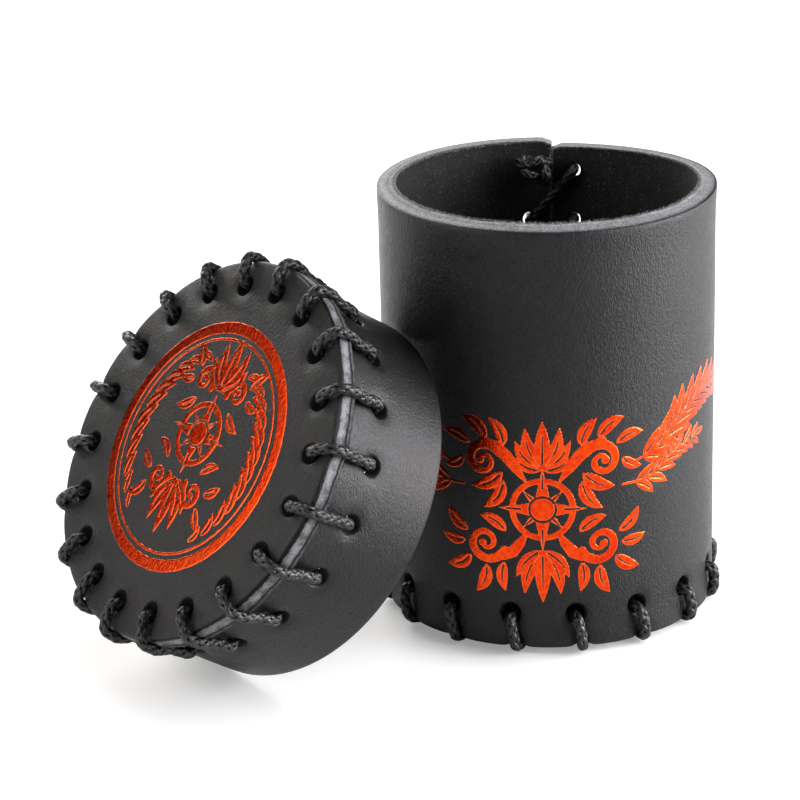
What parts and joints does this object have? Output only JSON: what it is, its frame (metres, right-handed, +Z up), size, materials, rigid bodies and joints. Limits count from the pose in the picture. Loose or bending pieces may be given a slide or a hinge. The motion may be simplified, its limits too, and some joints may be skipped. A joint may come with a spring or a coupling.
{
  "type": "leather dice cup with lid",
  "caption": "Round cup of thick black leather laced with waxed cord, with a laced slip-over lid that lies open, leaning against it.",
  "frame": {"origin": "centre of the underside of the cup's base", "axes": "+Z up along the cup's axis, towards its mouth; the cup's laced seam is at +Y; the lid leans on the -X -Y side"},
  "size_m": [0.1674, 0.142, 0.1115],
  "materials": {
    "black_leather": "satin vegetable-tanned leather with fine grain, burnished cut edges and a fuzzy flesh side",
    "red_foil": "hot-stamped metallic foil, red turning orange in the light",
    "waxed_cord": "twisted black cord with a dull wax sheen"
  },
  "bodies": {
    "cup": {"cup_wall": "black_leather", "cup_base": "black_leather", "cup_base_lace": "waxed_cord", "cup_base_knot": "waxed_cord", "cup_seam_lace": "waxed_cord", "cup_seam_knots": "waxed_cord"},
    "lid": {"lid_top": "black_leather", "lid_skirt": "black_leather", "lid_lace": "waxed_cord", "lid_lace_knot": "waxed_cord", "lid_seam_lace": "waxed_cord", "lid_seam_knots": "waxed_cord"}
  },
  "joints": [
    {"name": "lid_lift", "type": "slide", "parent": "cup", "child": "lid", "axis": [0, 0, 1], "range_m": [0, 0.115]}
  ]
}
